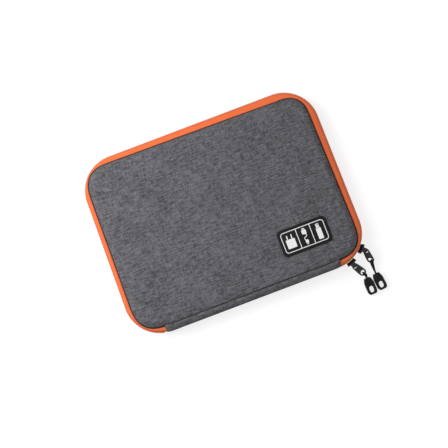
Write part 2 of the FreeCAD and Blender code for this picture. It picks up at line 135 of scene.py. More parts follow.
class Finish:
    # one material: a Principled shader with fixed values, and the nodes that vary some of them
    def __init__(self, slotName, **fixed):
        self.slotName = slotName
        self.material = bpy.data.materials.new(slotName)
        self.material.use_nodes = True
        self.tree = self.material.node_tree
        self.shader = self.tree.nodes["Principled BSDF"]
        for name, value in fixed.items():
            self.set(name.replace("_", " "), value)

    def set(self, name, value):
        if isinstance(value, Wire):
            self.tree.links.new(value.socket, self.shader.inputs[name])
        else:
            self.shader.inputs[name].default_value = value

    def node(self, kind, settings=None, inputs=None, output=0):
        node = self.tree.nodes.new("ShaderNode" + kind)
        for name, value in (settings or {}).items():
            setattr(node, name, value)
        for name, value in (inputs or {}).items():
            if isinstance(value, Wire):
                self.tree.links.new(value.socket, node.inputs[name])
            else:
                node.inputs[name].default_value = value
        return Wire(self.tree, node.outputs[output])

    def split(self, vector):
        return [self.node("SeparateXYZ", {}, {0: vector}, axis) for axis in range(3)]

    def vector(self, x=0.0, y=0.0, z=0.0):
        return self.node("CombineXYZ", {}, {0: x, 1: y, 2: z})

    def weave(self):
        # millimetres along and across the cloth, kept on the piece itself
        return self.split(self.node("Attribute", {"attribute_name": "weave"}, {}, "Vector"))

    def place(self):
        # millimetres in the object's own frame
        spot = self.node("TexCoord", {}, {}, "Object")
        return self.node("VectorMath", {"operation": "SCALE"}, {0: spot, "Scale": 1000.0})

    def cloud(self, vector, scale=1.0, detail=2.0, roughness=0.5):
        return self.node("TexNoise", {}, {
            "Vector": vector, "Scale": scale, "Detail": detail, "Roughness": roughness,
        })

    def colour(self, factor, first, second):
        blend = self.node("Mix", {"data_type": "RGBA"}, {0: factor, 6: (*first, 1), 7: (*second, 1)}, 2)
        self.set("Base Color", blend)

    def range(self, value, low, high, newLow=0.0, newHigh=1.0):
        return self.node("MapRange", {"clamp": True}, {
            "Value": value, "From Min": low, "From Max": high, "To Min": newLow, "To Max": newHigh,
        })

    def rough(self, tone, first, second):
        # from the first roughness to the second as the tone rises
        self.set("Roughness", self.range(tone, *toneSpan, first, second))

    def relief(self, height, depth, strength):
        # height is in parts of depth, and depth in millimetres
        bump = self.node("Bump", {}, {
            "Height": height, "Distance": depth * 0.001, "Strength": strength,
        })
        self.set("Normal", bump)


def plainWeave(along, across, pitch):
    # crossing yarns: their numbers, which one lies on top, and how high the cloth stands
    column = (along / pitch).floor()
    row = (across / pitch).floor()
    over = (column + row) % 2.0
    pillow = ((along / pitch).fraction() * math.pi).sine() * ((across / pitch).fraction() * math.pi).sine()
    return column, row, over, pillow


heather = {
    "yarn": 0.55,
    "dark": (0.046, 0.0455, 0.051),
    "light": (0.215, 0.213, 0.233),
    "jumps": (3.71, 3.37),  # between the noise of neighbouring weft and warp yarns
    "slubLength": 7.0,      # of a yarn's thick and thin places
    "slubRate": 0.8,        # how fast they change from yarn to yarn
    "weftSlubs": 0.65,      # their share in each yarn's tone
    "warpSlubs": 0.5,
    "warpShare": 0.7,       # how strongly the warp varies beside the weft
    "patchRate": 0.03,      # how fast paler and darker patches of the cloth change
    "patchDepth": 0.11,
    "tones": (0.395, 0.615),
    "relief": 0.16,
}


def heatherFinish():
    finish = Finish("heather_fabric", Roughness=0.92, Specular_IOR_Level=0.1, Sheen_Weight=0.05)
    along, across, _ = finish.weave()
    column, row, over, pillow = plainWeave(along, across, heather["yarn"])
    stretch = 1 / heather["slubLength"]
    rate = heather["slubRate"]
    patch = heather["patchRate"]
    weftJump, warpJump = heather["jumps"]
    weft = finish.cloud(finish.vector(along * stretch, row * weftJump), 1.0, 2.0, 0.6)
    warp = finish.cloud(finish.vector(column * warpJump, across * stretch, 9.0), 1.0, 2.0, 0.6)
    thickWeft = finish.cloud(finish.vector(along * stretch * 0.9, across * rate, 3.0), 1.0, 1.0)
    thickWarp = finish.cloud(finish.vector(along * rate, across * stretch * 0.9, 6.0), 1.0, 1.0)
    crosswise = weft * (1 - heather["weftSlubs"]) + thickWeft * heather["weftSlubs"]
    lengthwise = warp * (1 - heather["warpSlubs"]) + thickWarp * heather["warpSlubs"]
    lengthwise = (lengthwise - 0.5) * heather["warpShare"] + 0.5
    tone = crosswise * over + lengthwise * (1 - over)
    patchy = finish.cloud(finish.vector(along * patch, across * patch, 2.0), 1.0, 2.0)
    tone = tone + (patchy - 0.5) * heather["patchDepth"]
    shade = finish.range(tone, *heather["tones"])
    finish.colour(shade, heather["dark"], heather["light"])
    finish.rough(tone, 0.96, 0.82)
    finish.relief(pillow * 0.75 + tone * 0.5, heather["relief"], 0.8)
    return finish


tape = {
    "yarn": 0.62,
    "rib": 1.24,
    "bright": (0.97, 0.207, 0.070),
    "deep": (0.88, 0.160, 0.050),
}


def tapeFinish(slotName, bright, deep):
    # zip tape: fine ribs lengthwise, crossed by finer ones
    finish = Finish(slotName, Roughness=0.8, Specular_IOR_Level=0.15)
    along, across, _ = finish.weave()
    _, _, over, pillow = plainWeave(along, across, tape["yarn"])
    rib = (across * (2 * math.pi / tape["rib"])).sine() * 0.5 + 0.5
    tone = finish.cloud(finish.vector(along * 0.08, across * 0.9), 1.0, 3.0)
    # colour: the tape's random tone, with painted shade that darkens the hollows between the yarns
    shade = finish.range(tone * 0.7 + pillow * 0.3 + over * 0.06, 0.25, 0.75)
    finish.colour(shade, deep, bright)
    finish.rough(tone, 0.88, 0.68)
    finish.relief(pillow * 0.6 + rib * 0.4, 0.10, 0.7)
    return finish


def nylonFinish(slotName, bright, deep):
    finish = Finish(slotName, Roughness=0.4, Specular_IOR_Level=0.45)
    tone = finish.cloud(finish.place(), 0.35, 3.0)
    finish.colour(finish.range(tone, *toneSpan), deep, bright)
    finish.rough(tone, 0.5, 0.32)
    return finish


def wovenFinish(slotName, pitch, dark, light, ribs=0.0):
    # plain black cloth; ribs is the pitch of its crosswise ribs, or nothing
    finish = Finish(slotName, Roughness=0.9, Specular_IOR_Level=0.15)
    along, across, _ = finish.weave()
    column, row, over, pillow = plainWeave(along, across, pitch)
    thread = finish.cloud(finish.vector(along * 0.3, row * 2.9), 1.0, 1.0) * over
    thread = thread + finish.cloud(finish.vector(column * 2.3, across * 0.3, 4.0), 1.0, 1.0) * (1 - over)
    height = pillow
    if ribs:
        wave = (along * (2 * math.pi / ribs)).sine() * 0.5 + 0.5
        height = pillow * 0.35 + wave * 0.9
    # colour: each thread's random tone, with painted shade that darkens the hollows between yarns and between
    # ribs
    shade = finish.range(thread * 0.7 + height * 0.3, 0.2, 0.8)
    finish.colour(shade, dark, light)
    finish.rough(thread, 0.95, 0.8)
    finish.relief(height, 0.18 if ribs else 0.12, 0.9)
    return finish


netting = {
    "pitch": 2.6,
    "rowPitch": 2.6 * 0.866,
    "hole": (0.84, 0.96),   # radius, and where the cloth begins to be whole
    "swell": (0.85, 1.4),   # radii between which the cloth rises
    "dark": (0.022, 0.022, 0.024),
    "light": (0.048, 0.048, 0.052),
}


def meshFinish():
    # knitted mesh: rows of round holes, every other row moved by half a step
    finish = Finish("mesh", Roughness=0.8, Specular_IOR_Level=0.2)
    along, across, _ = finish.weave()
    pitch = netting["pitch"]
    rowPitch = netting["rowPitch"]
    row = (across / rowPitch).floor()
    x = ((along / pitch + row * 0.5).fraction() - 0.5) * pitch
    y = ((across / rowPitch).fraction() - 0.5) * rowPitch
    reach = (x * x + y * y).root()
    tone = finish.cloud(finish.vector(along, across), 1.5, 2.0)
    finish.colour(tone, netting["dark"], netting["light"])
    finish.set("Alpha", finish.range(reach, *netting["hole"]))
    finish.relief(finish.range(reach, *netting["swell"]), 0.25, 0.8)
    return finish


def rubberFinish(slotName, dark, light, grain, rough):
    finish = Finish(slotName, Roughness=rough, Specular_IOR_Level=0.14)
    spot = finish.place()
    tone = finish.cloud(spot, 0.22, 3.0)
    fine = finish.cloud(spot, grain, 2.0)
    finish.colour(finish.range(tone, *toneSpan), dark, light)
    finish.rough(tone * 0.6 + fine * 0.4, rough + 0.1, rough - 0.08)
    finish.relief(fine, 0.05, 0.5)
    return finish


def printFinish():
    finish = Finish("print", Roughness=0.5)
    spot = finish.place()
    tone = finish.cloud(spot, 1.6, 4.0, 0.7)
    worn = finish.range(tone, 0.28, 0.42)
    finish.colour(worn, (0.62, 0.62, 0.63), (0.93, 0.93, 0.93))
    finish.rough(tone, 0.6, 0.42)
    finish.relief(finish.cloud(spot, 4.0), 0.02, 0.4)
    return finish


def paintedFinish():
    # black paint on die-cast metal, rubbed a little paler in places
    finish = Finish("slider_metal", Roughness=0.36, Metallic=0.0, Specular_IOR_Level=0.3)
    spot = finish.place()
    tone = finish.cloud(spot, 0.5, 4.0, 0.65)
    rubbed = finish.range(tone, 0.60, 0.74)
    finish.colour(rubbed, (0.012, 0.012, 0.013), (0.060, 0.060, 0.064))
    finish.set("Metallic", rubbed * 0.4)
    finish.rough(tone, 0.30, 0.48)
    finish.relief(finish.cloud(spot, 2.5, 3.0), 0.02, 0.5)
    return finish


twist = {"cord": 6.3, "thread": 9.0}    # radians for each millimetre


def cordFinish():
    finish = Finish("cord", Roughness=0.8, Specular_IOR_Level=0.1)
    x, y, z = finish.split(finish.place())
    braid = ((x + y + z) * twist["cord"]).sine() * ((x - y + z) * twist["cord"]).sine() * 0.5 + 0.5
    # colour follows the braid: painted shade, darker in its hollows and lighter on its crests
    finish.colour(braid, (0.010, 0.010, 0.011), (0.036, 0.036, 0.038))
    finish.relief(braid, 0.12, 0.8)
    return finish


def threadFinish():
    finish = Finish("binding", Roughness=0.7)
    x, y, z = finish.split(finish.place())
    lay = ((x + y + z) * twist["thread"]).sine() * 0.5 + 0.5
    # colour follows the lay: painted shade, darker in the hollows between strands and lighter on their crests
    finish.colour(lay, (0.080, 0.080, 0.086), (0.190, 0.190, 0.200))
    finish.relief(lay, 0.05, 0.6)
    return finish


finishes = {
    "heather": heatherFinish(),
    "tape": tapeFinish("zip_tape", tape["bright"], tape["deep"]),
    "coil": nylonFinish("zip_coil", (0.90, 0.185, 0.050), (0.74, 0.120, 0.030)),
    "lining": wovenFinish("lining", 0.60, (0.030, 0.030, 0.033), (0.078, 0.078, 0.084)),
    "binding": wovenFinish("binding", 0.45, (0.013, 0.013, 0.014), (0.036, 0.036, 0.039), 0.9),
    "elastic": wovenFinish("elastic", 0.50, (0.016, 0.016, 0.017), (0.050, 0.050, 0.054), 1.3),
    "mesh": meshFinish(),
    "patch": rubberFinish("patch_rubber", (0.004, 0.004, 0.0045), (0.010, 0.010, 0.011), 3.0, 0.5),
    "print": printFinish(),
    "innerTape": tapeFinish("inner_zip_tape", (0.036, 0.036, 0.039), (0.016, 0.016, 0.017)),
    "innerCoil": nylonFinish("inner_zip_coil", (0.030, 0.030, 0.032), (0.014, 0.014, 0.015)),
    "metal": paintedFinish(),
    "cord": cordFinish(),
    "grip": rubberFinish("grip_rubber", (0.004, 0.004, 0.0045), (0.010, 0.010, 0.011), 4.0, 0.42),
    "thread": threadFinish(),
}
print("finishes made", len(finishes))


def smoothStep(value):
    value = min(1.0, max(0.0, value))
    return value * value * (3 - 2 * value)


def lerp(first, second, share):
    return first + (second - first) * share


def weaveOf(shape):
    # the layer that holds each vertex's place on the cloth
    layers = shape.verts.layers.float_vector
    return layers.get("weave") or layers.new("weave")


def gridShape(columns, rows, placeAt):
    # a grid whose vertices are put in place, and given their weave, by their two counts
    shape = bmesh.new()
    bmesh.ops.create_grid(shape, x_segments=columns, y_segments=rows, size=1.0)
    weave = weaveOf(shape)
    for vertex in shape.verts:
        column = round((vertex.co.x + 1) / 2 * columns)
        row = round((vertex.co.y + 1) / 2 * rows)
        vertex.co, vertex[weave] = placeAt(column, row)
    return shape


def closeShape(shape, gap=0.001):
    bmesh.ops.remove_doubles(shape, verts=shape.verts, dist=gap)
    openEdges = [edge for edge in shape.edges if edge.is_boundary]
    if openEdges:
        bmesh.ops.holes_fill(shape, edges=openEdges, sides=0)
    bmesh.ops.recalc_face_normals(shape, faces=shape.faces)
    return shape


def flipUp(shape, meets=None):
    # from the base to the lid: mirrored in the middle plane of the closed pouch; where the
    # two halves meet there, the weave runs on from its value across the cloth
    for vertex in shape.verts:
        vertex.co.z = pouch["height"] - vertex.co.z
    if meets is not None:
        weave = weaveOf(shape)
        for vertex in shape.verts:
            along, across, side = vertex[weave]
            vertex[weave] = (along, 2 * meets - across, side)
    bmesh.ops.reverse_faces(shape, faces=shape.faces)
    return shape


def sharpEdges(shape, angle):
    return [edge for edge in shape.edges if edge.is_manifold and edge.calc_face_angle() > math.radians(angle)]


def addModifier(piece, name, kind, **settings):
    layer = piece.modifiers.new(name, kind)
    for setting, value in settings.items():
        setattr(layer, setting, value)


def finishPiece(name, shape, body, finish, replaced=(), smooth=0, sharp=50, thick=0.0):
    for face in shape.faces:
        face.smooth = True
    for edge in sharpEdges(shape, sharp):
        edge.smooth = False
    shape.transform(metres)
    mesh = meshFrom(shape, name)
    piece = addObject(name, mesh)
    mesh.materials.append(finishes[finish].material)
    if thick:
        addModifier(piece, "thick", "SOLIDIFY", thickness=thick * 0.001, offset=-1)
    if smooth:
        addModifier(piece, "smooth", "SUBSURF", levels=smooth, render_levels=smooth)
    if body:
        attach(piece, body)
    if replaced:
        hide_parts(*replaced)
    return piece


def finishHalves(name, makeShape, finish, nodes=(), **options):
    # a piece of the base, and the lid's counterpart to it; names hold {body}, {half} or {Half}
    for body, half in (("base", "lower"), ("lid", "upper")):
        shape = makeShape(body)
        if body == "lid":
            flipUp(shape)
        words = {"body": body, "half": half, "Half": half.capitalize()}
        replaced = [node.format(**words) for node in nodes]
        finishPiece(name.format(**words), shape, body, finish, replaced, **options)


def repeatShape(unit, places):
    # one shape with a copy of unit at each place
    mesh = meshFrom(unit, "unit")
    shape = bmesh.new()
    for place in places:
        mesh.transform(place)
        shape.from_mesh(mesh)
        mesh.transform(place.inverted())
    bpy.data.meshes.remove(mesh)
    return shape


def capsule(length, width, height, around=8, rings=6):
    # a rounded bar along X
    shape = bmesh.new()
    bmesh.ops.create_uvsphere(shape, u_segments=around, v_segments=rings, radius=0.5)
    half = (length - width) / 2
    for vertex in shape.verts:
        x, y, z = vertex.co
        end = half if z > 0.01 else -half if z < -0.01 else 0.0
        vertex.co = (z * width + end, x * width, y * height)
    return shape


def nodeShape(node):
    # a CAD node's own shape, in millimetres
    shape = bmesh.new()
    shape.from_mesh(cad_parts[node].data)
    shape.transform(metres.inverted())
    return shape


def roundedCopy(node, width):
    # a CAD node's own shape with rounded edges
    shape = nodeShape(node)
    bmesh.ops.remove_doubles(shape, verts=shape.verts, dist=0.001)
    bmesh.ops.dissolve_limit(shape, angle_limit=math.radians(1), verts=shape.verts, edges=shape.edges)
    bmesh.ops.bevel(shape, geom=sharpEdges(shape, 35), offset=width, offset_type="OFFSET", segments=3,
                    profile=0.5, affect="EDGES", clamp_overlap=True, material=-1)
    weave = weaveOf(shape)
    for vertex in shape.verts:
        vertex[weave] = (vertex.co.x, vertex.co.y + vertex.co.z, 0)
    return shape


def mouldedPiece(name, node, body, finish, moulding):
    # a CAD node's own shape as if cast, with every edge rounded over
    voxel, rounds = moulding
    piece = finishPiece(name, nodeShape(node), body, finish, [node], sharp=180)
    addModifier(piece, "remesh", "REMESH", mode="VOXEL", voxel_size=voxel * 0.001, use_smooth_shade=True)
    addModifier(piece, "rounding", "SMOOTH", factor=0.5, iterations=rounds)


def panelShape(low, high, step, heightAt):
    # one side of a sheet over a rectangle
    columns = max(1, round((high[0] - low[0]) / step))
    rows = max(1, round((high[1] - low[1]) / step))

    def placeAt(column, row):
        x = lerp(low[0], high[0], column / columns)
        y = lerp(low[1], high[1], row / rows)
        return Vector((x, y, heightAt(x, y))), (x, y, 0)

    return gridShape(columns, rows, placeAt)


def flatSection(nearInset, farInset, low, high):
    # a flat band's section, thinner at its edges
    edge = (high - low) * 0.35
    return [(nearInset, low + edge), (nearInset + 0.35, high), (farInset - 0.35, high),
            (farInset, low + edge), (farInset - 0.2, low), (nearInset + 0.2, low)]


def stitchesBetween(first, last, pitch):
    # places of stitches along a straight seam
    first = Vector(first)
    last = Vector(last)
    turn = (last - first).to_track_quat("X", "Z").to_matrix().to_4x4()
    count = max(1, round((last - first).length / pitch))
    return [Matrix.Translation(first.lerp(last, (n + 0.5) / count)) @ turn for n in range(count)]


def stitchesRound(line, start, end, inset, height, pitch):
    # places of stitches along a stretch of an outline
    places = []
    for stop in evenStops(start, end, pitch)[:-1]:
        point, outward = line.at(stop, inset)
        point.z = height
        places.append(Matrix.Translation(point) @ Matrix.Rotation(math.atan2(outward.x, -outward.y), 4, "Z"))
    return places


class Outline:
    # a rounded rectangle, followed counter-clockwise from the right end of its near side
    def __init__(self, halfLength, halfWidth, corner, middle=(0.0, 0.0)):
        self.arcX = halfLength - corner
        self.arcY = halfWidth - corner
        self.corner = corner
        self.quarter = corner * math.pi / 2
        self.length = 4 * (self.quarter + self.arcX + self.arcY)
        self.middle = Vector((*middle, 0))

    def side(self, index):
        # length of the side that follows a corner
        return 2 * (self.arcX if index % 2 else self.arcY)

    def spot(self, along):
        # the number of a corner and the side after it, the turn made in the corner, the run past it
        along %= self.length
        for index in range(4):
            if along <= self.quarter + self.side(index) or index == 3:
                break
            along -= self.quarter + self.side(index)
        return index, min(along, self.quarter) / self.corner, max(0.0, along - self.quarter)

    def at(self, along, inset):
        # a point of the line moved inwards, and the way out of the shape there
        index, turn, run = self.spot(along)
        angle = math.pi / 2 * (index - 1) + turn
        outward = Vector((math.cos(angle), math.sin(angle), 0))
        forward = Vector((-outward.y, outward.x, 0))
        x = self.arcX if index < 2 else -self.arcX
        y = self.arcY if index in (1, 2) else -self.arcY
        point = self.middle + Vector((x, y, 0)) + outward * (self.corner - inset) + forward * run
        return point, outward

    def stops(self, cornerSteps, lengthSteps, widthSteps):
        # stops round the whole line, with whole numbers of steps on each arc and side
        stops = [0.0]
        for index in range(4):
            sideSteps = lengthSteps if index % 2 else widthSteps
            for run, steps in ((self.quarter, cornerSteps), (self.side(index), sideSteps)):
                start = stops[-1]
                stops += [start + run * (n + 1) / steps for n in range(steps)]
        return stops


def outlineOf(low, high, corner):
    # the rounded rectangle that fills a box
    return Outline((high.x - low.x) / 2, (high.y - low.y) / 2, corner,
                   ((low.x + high.x) / 2, (low.y + high.y) / 2))


pouchLine = Outline(pouch["halfLength"], pouch["halfWidth"], pouch["corner"])
zipEnd = pouchLine.length - 2 * pouchLine.arcX - pouch["zipEndShort"]

seam = {    # of shell and zip tape: its inset at the start and end of the right, back, left and spine side
    "lid": ((8.0, 9.1), (10.1, 8.1), (6.6, 6.6), (7.5, 7.5)),
    "base": ((7.8, 7.8), (7.8, 7.8), (7.8, 7.8), (7.5, 7.5)),
    "cornerPull": 2.9,      # how much nearer the shell comes to the outline in its corners
}


def seamAt(along, part):
    index, turn, run = pouchLine.spot(along)
    start, end = seam[part][index]
    inset = lerp(start, end, run / pouchLine.side(index))
    if run == 0:
        inset = lerp(seam[part][index - 1][1], start, smoothStep(2 * turn / math.pi))
    return inset - seam["cornerPull"] * math.sin(2 * turn) ** 2


def evenStops(start, end, step):
    count = max(1, round((end - start) / step))
    return [lerp(start, end, n / count) for n in range(count + 1)]


fold = {"left": -87.5, "right": 86.0, "ease": 4.0}    # where zip gives way to spine


def spineShare(point, ease, shift):
    # 1 beside the spine and 0 along the zip; shift moves the change towards the spine's middle
    if point.y > 0:
        return 0.0
    left = smoothStep((point.x - fold["left"] - shift) / ease + 0.5)
    right = smoothStep((fold["right"] - shift - point.x) / ease + 0.5)
    return left * right


def runsAlong(points):
    # distance of each point of a section from its first, along the section
    runs = [0.0]
    for (inset0, high0), (inset1, high1) in zip(points, points[1:]):
        runs.append(runs[-1] + math.hypot(inset1 - inset0, high1 - high0))
    return runs


def roundSection(values):
    # an ellipse of (inset, height) points
    points = []
    for side in range(values["sides"]):
        turn = 2 * math.pi * side / values["sides"]
        points.append((values["inset"] + values["half"] * math.cos(turn),
                       values["height"] + values["rise"] * math.sin(turn)))
    return points


def bandShape(stops, section, adjusted=None, line=pouchLine):
    # a closed section of (inset, height) points swept along an outline
    points = [*section, section[0]]
    across = runsAlong(points)

    def placeAt(column, row):
        inset, high = points[row]
        if adjusted:
            inset, high = adjusted(stops[column], inset, high)
        point, _ = line.at(stops[column], inset)
        point.z = high
        return point, (stops[column], across[row], 0)

    return closeShape(gridShape(len(stops) - 1, len(section), placeAt))


print("outline", round(pouchLine.length), "mm, zip", round(zipEnd - pouch["zipStart"]), "mm")


studio = {
    "middle": Vector((0, 0, pouch["height"] / 2)),
    "distance": 800.0,
    "leanX": -0.1,          # degrees that the camera stands off the upright
    "leanY": -6.2,
    "imageUp": Vector((0.352, 0.936, 0)),
    "lens": 65.2,
    "shift": (0.0038, -0.0279),
    "ambient": 0.31,
    "floorColour": 0.36,
    "floorGlow": (0.77, 0.92),      # near the pouch and far from it
    "floorReach": (0.22, 0.75),     # metres from the pouch's middle at which they hold
    "floorSize": 3.0,
    "floorDrop": 0.0002,            # metres that it lies under the pouch
}
lamps = {   # place and size in metres, and power
    "key": ((-0.33, 0.18, 0.50), 0.4, 3.4),
    "side": ((1.10, -0.15, 0.30), 0.5, 1.5),
}


def makeCamera():
    camera = bpy.data.cameras.new("camera")
    camera.lens = studio["lens"]
    camera.sensor_width = 36
    camera.shift_x, camera.shift_y = studio["shift"]
    camera.clip_start = 0.01
    viewer = addObject("camera", camera)
    across = math.sin(math.radians(studio["leanX"]))
    along = math.sin(math.radians(studio["leanY"]))
    away = Vector((across, along, math.sqrt(1 - across ** 2 - along ** 2)))
    right = studio["imageUp"].cross(away).normalized()
    up = away.cross(right)
    turn = Matrix((right, up, away)).transposed().to_4x4()
    viewer.matrix_world = Matrix.Translation((studio["middle"] + away * studio["distance"]) * 0.001) @ turn
    bpy.context.scene.camera = viewer


def makeLamp(name, place, size, power):
    # a soft square lamp in metres that faces the pouch
    lamp = bpy.data.lights.new(name, "AREA")
    lamp.size = size
    lamp.energy = power
    source = addObject(name, lamp)
    source.location = place
    source.rotation_euler = Vector(place).to_track_quat("Z", "Y").to_euler()


def rayShare(tree):
    # 1 for rays that reach the eye straight, or by way of gloss or glass
    path = tree.nodes.new("ShaderNodeLightPath")
    seen = Wire(tree, path.outputs["Is Camera Ray"])
    seen = seen.joined("MAXIMUM", seen, Wire(tree, path.outputs["Is Glossy Ray"]))
    return seen.joined("MAXIMUM", seen, Wire(tree, path.outputs["Is Transmission Ray"]))


def makeWorld():
    world = bpy.data.worlds.new("studio")
    world.use_nodes = True
    bpy.context.scene.world = world
    ground = world.node_tree.nodes["Background"]
    ground.inputs["Color"].default_value = (1, 1, 1, 1)
    strength = rayShare(world.node_tree) * (1 - studio["ambient"]) + studio["ambient"]
    world.node_tree.links.new(strength.socket, ground.inputs["Strength"])


def makeFloor():
    shape = bmesh.new()
    bmesh.ops.create_grid(shape, x_segments=1, y_segments=1, size=studio["floorSize"])
    mesh = meshFrom(shape, "floor")
    floor = addObject("floor", mesh)
    finish = Finish("floor", Roughness=0.9, Specular_IOR_Level=0.1, Emission_Color=(1, 1, 1, 1),
                    Base_Color=(*[studio["floorColour"]] * 3, 1))
    spot = finish.node("TexCoord", {}, {}, "Object")
    away = finish.node("VectorMath", {"operation": "LENGTH"}, {0: spot}, "Value")
    glow = finish.range(away, *studio["floorReach"], *studio["floorGlow"])
    finish.set("Emission Strength", rayShare(finish.tree) * glow)
    mesh.materials.append(finish.material)
    floor.location.z = -studio["floorDrop"]


makeCamera()
makeWorld()
makeFloor()
for name, values in lamps.items():
    makeLamp(name, *values)
bpy.context.scene.view_settings.view_transform = "Standard"


cord = {"diameter": 1.8, "pull_1": 45.3, "pull_2": 33.0}     # and the lengths of the two loops
cordRoutes = {              # out of the grip, through the tab's hole and back into the grip
    "pull_1": [
        (120.23, -117.32, 5.10),
        (119.16, -108.67, 6.32),
        (118.50, -101.90, 6.90),
        (118.09, -97.51, 9.11),
        (120.45, -95.51, 6.26),
        (120.80, -99.60, 4.10),
        (119.12, -108.37, 4.24),
        (120.19, -117.02, 3.02),
    ],
    "pull_2": [
        (110.00, -118.47, 5.10),
        (109.54, -109.76, 6.32),
        (109.95, -107.60, 8.80),
        (108.54, -105.81, 9.74),
        (107.44, -104.18, 5.63),
        (109.10, -106.70, 3.60),
        (109.52, -109.46, 4.24),
        (109.98, -118.17, 3.02),
    ],
}


def makeCord(pull):
    route = cordRoutes[pull]
    curve = bpy.data.curves.new(f"{pull}Cord", "CURVE")
    curve.dimensions = "3D"
    curve.bevel_depth = cord["diameter"] * 0.0005
    curve.bevel_resolution = 4
    curve.resolution_u = 12
    curve.use_fill_caps = True
    spline = curve.splines.new("NURBS")
    spline.points.add(len(route) - 1)
    for point, place in zip(spline.points, route):
        point.co = (*inMetres(place), 1)
    spline.order_u = 3
    spline.use_endpoint_u = True
    curve.materials.append(finishes["cord"].material)
    piece = addObject(f"{pull}CordLoop", curve)
    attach(piece, pull)
    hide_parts(f"{pull}_cord")
    inMetres(route[0])


for pull in cordRoutes:
    makeCord(pull)
print("cords made")


cover = {
    "flatInset": 14.5,      # where the face's shoulder starts
    "seamInset": 7.5,
    "zipDrop": 4.4,         # of the seam below the face, beside the zip
    "spineDrop": 1.25,      # and beside the spine
    "shoulder": 2.3,        # how late the shoulder falls away
    "shoulderSteps": 7,
    "shoulderSpread": 1.3,  # above 1, its rows stand closer towards the seam
    "roll": 0.6,            # radius of the edge that turns under
    "rollAngles": (50, 100, 150),
    "rollLean": 0.35,       # how much farther from the face it ends for each millimetre it turns in
    "wall": 2.8,            # the shell's thickness
    "wallRows": ((2.4, 0.85, 0.9), (4.4, 0.4, 2.016)),     # past the seam, share of its drop, height
    "wallFoot": (1.5, 0.1),         # and beside the flat middle: past flatInset, beyond the wall
    "crown": 0.9,
    "crownCurve": 2.6,      # how flat the swelling is in the middle
    "wave": 0.14,           # height of the cloth's unevenness
    "waveRates": (0.021, 0.05),     # of its broad and its fine waves, for each millimetre
    "patchEase": 16.0,      # distance from the patch over which the swelling begins
    "foldInset": 27.0,      # farthest in that the seam's place still moves the cloth
    "flatInsets": (20.0, 16.5),     # of the face's rows between there and the shoulder
    "pressure": 4.0,
    "heldBelow": 0.12,      # the simulated cloth is held where it's freed by less than this share
    "frames": 20,
    "cap": 1.2,             # farthest that the simulated swelling moves a point
}
gridSteps = {"corner": 16, "length": 54, "width": 34}


def coverSection(drop):
    # the outer face from its middle to its rolled edge, then the inner face back again
    span = cover["flatInset"] - cover["seamInset"]
    rows = [(inset, 0.0) for inset in (pouch["corner"], cover["foldInset"], *cover["flatInsets"])]
    for step in range(cover["shoulderSteps"] + 1):
        share = (1 - step / cover["shoulderSteps"]) ** cover["shoulderSpread"]
        rows.append((cover["seamInset"] + share * span, drop * (1 - share) ** cover["shoulder"]))
    for angle in cover["rollAngles"]:
        turn = math.radians(angle)
        reach = cover["roll"] * (1 - math.cos(turn))
        fall = cover["roll"] * math.sin(turn) + reach * cover["rollLean"]
        rows.append((cover["seamInset"] + reach, drop + fall))
    rows += [(cover["seamInset"] + past, drop * share + up) for past, share, up in cover["wallRows"]]
    past, up = cover["wallFoot"]
    rows.append((cover["flatInset"] + past, cover["wall"] + up))
    rows += [(inset, cover["wall"]) for inset in (cover["flatInsets"][0], pouch["corner"])]
    return rows


outerRows = 2 + len(cover["flatInsets"]) + cover["shoulderSteps"] + 1


def trayShape(zipRows, spineRows, outerCount, part=None, ease=fold["ease"], shift=0.0):
    # rows of (inset, height) swept round the whole outline, and the two flat middles joined on
    stops = pouchLine.stops(gridSteps["corner"], gridSteps["length"], gridSteps["width"])
    zipRuns = runsAlong(zipRows)
    spineRuns = runsAlong(spineRows)

    def rimAt(column, row):
        nominal, _ = pouchLine.at(stops[column], cover["seamInset"])
        share = spineShare(nominal, ease, shift)
        inset = lerp(zipRows[row][0], spineRows[row][0], share)
        if part:
            moved = smoothStep((cover["foldInset"] - inset) / (cover["foldInset"] - cover["seamInset"]))
            inset += (seamAt(stops[column], part) - cover["seamInset"]) * moved
        point, _ = pouchLine.at(stops[column], inset)
        point.z = lerp(zipRows[row][1], spineRows[row][1], share)
        cloth, _ = pouchLine.at(stops[column], pouch["corner"] - lerp(zipRuns[row], spineRuns[row], share))
        return point, (cloth.x, cloth.y, 1.0 if row < outerCount else 0.0)

    shape = gridShape(len(stops) - 1, len(zipRows) - 1, rimAt)
    weave = weaveOf(shape)
    for row, flag in ((0, 1.0), (-1, 0.0)):
        middle = bmesh.new()
        bmesh.ops.create_grid(middle, x_segments=gridSteps["length"], y_segments=gridSteps["width"], size=1.0)
        sheet = meshFrom(middle, "middle")
        before = len(shape.verts)
        shape.from_mesh(sheet)
        bpy.data.meshes.remove(sheet)
        shape.verts.ensure_lookup_table()
        for vertex in shape.verts[before:]:
            vertex.co = (vertex.co.x * pouchLine.arcX, vertex.co.y * pouchLine.arcY, zipRows[row][1])
            vertex[weave] = (vertex.co.x, vertex.co.y, flag)
    return closeShape(shape)


def crownAt(x, y):
    # how far the padding lifts the face, from 0 at its rim to 1 in its middle
    across = min(1.0, abs(x) / (pouch["halfLength"] - cover["seamInset"]))
    along = min(1.0, abs(y) / (pouch["halfWidth"] - cover["seamInset"]))
    return (1 - across ** cover["crownCurve"]) * (1 - along ** cover["crownCurve"])


patchLow, patchHigh = nodeBox("patch_base")
patchMiddle = (patchLow + patchHigh) / 2
patchSize = patchHigh - patchLow


def clearOfPatch(x, y):
    # 0 under the rubber patch, 1 well away from it
    gapX = max(0.0, abs(x - patchMiddle.x) - patchSize.x / 2)
    gapY = max(0.0, abs(y - patchMiddle.y) - patchSize.y / 2)
    return smoothStep(math.hypot(gapX, gapY) / cover["patchEase"])


